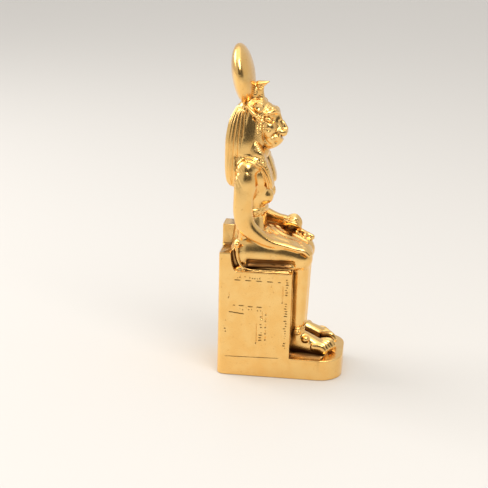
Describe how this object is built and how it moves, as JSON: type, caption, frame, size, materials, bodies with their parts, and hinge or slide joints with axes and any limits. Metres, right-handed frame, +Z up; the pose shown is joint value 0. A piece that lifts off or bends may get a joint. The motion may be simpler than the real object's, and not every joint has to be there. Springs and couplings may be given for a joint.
{
  "type": "seated lioness-headed figurine",
  "caption": "Gold-finished souvenir statuette: a lioness-headed figure with a sun disc, seated on a block throne with a low rounded base.",
  "frame": {"origin": "centre of the underside of the base", "axes": "+Z up; the figure faces -Y, with its right side at -X"},
  "size_m": [0.0246, 0.0384, 0.1005],
  "materials": {
    "gold_finish": "satin gold plating over a casting"
  },
  "bodies": {
    "root": {"seated_lioness_statue": "gold_finish"}
  },
  "joints": []
}
